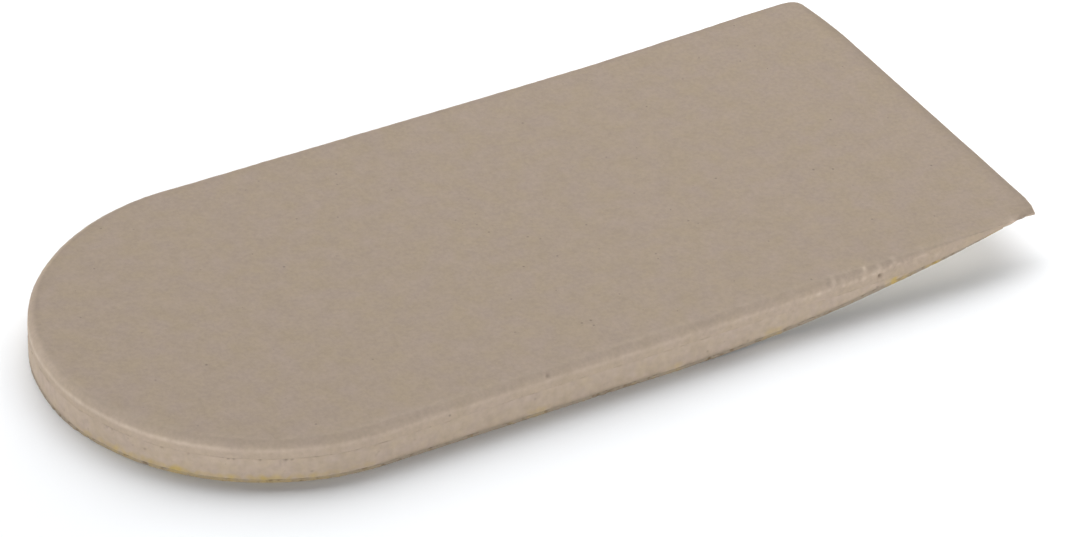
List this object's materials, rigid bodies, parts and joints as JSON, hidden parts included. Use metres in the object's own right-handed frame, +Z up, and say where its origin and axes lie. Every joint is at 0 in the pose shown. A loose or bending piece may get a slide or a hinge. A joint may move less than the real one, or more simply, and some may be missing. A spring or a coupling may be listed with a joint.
{
  "type": "heel lift",
  "caption": "Flat foam heel lift for inside a shoe: round at the heel, square at the front, with a rounded top rim, a skived underside that ends in a thin edge, and an adhesive backing.",
  "frame": {"origin": "on the floor under the middle of the lift's length and width, where the underside rests", "axes": "+Y along the length from the round heel to the thin front edge, +Z up out of the top face, X across the width"},
  "size_m": [0.0654, 0.1304, 0.0064],
  "materials": {
    "cover_foam": "matt beige closed-cell foam with a fine pebbled skin",
    "core_foam": "matt beige foam, cut edge with small open cells",
    "backing_film": "satin adhesive film, yellow-brown along its edge and pale underneath"
  },
  "bodies": {
    "root": {"top_cover": "cover_foam", "foam_core": "core_foam", "adhesive_backing": "backing_film"}
  },
  "joints": []
}
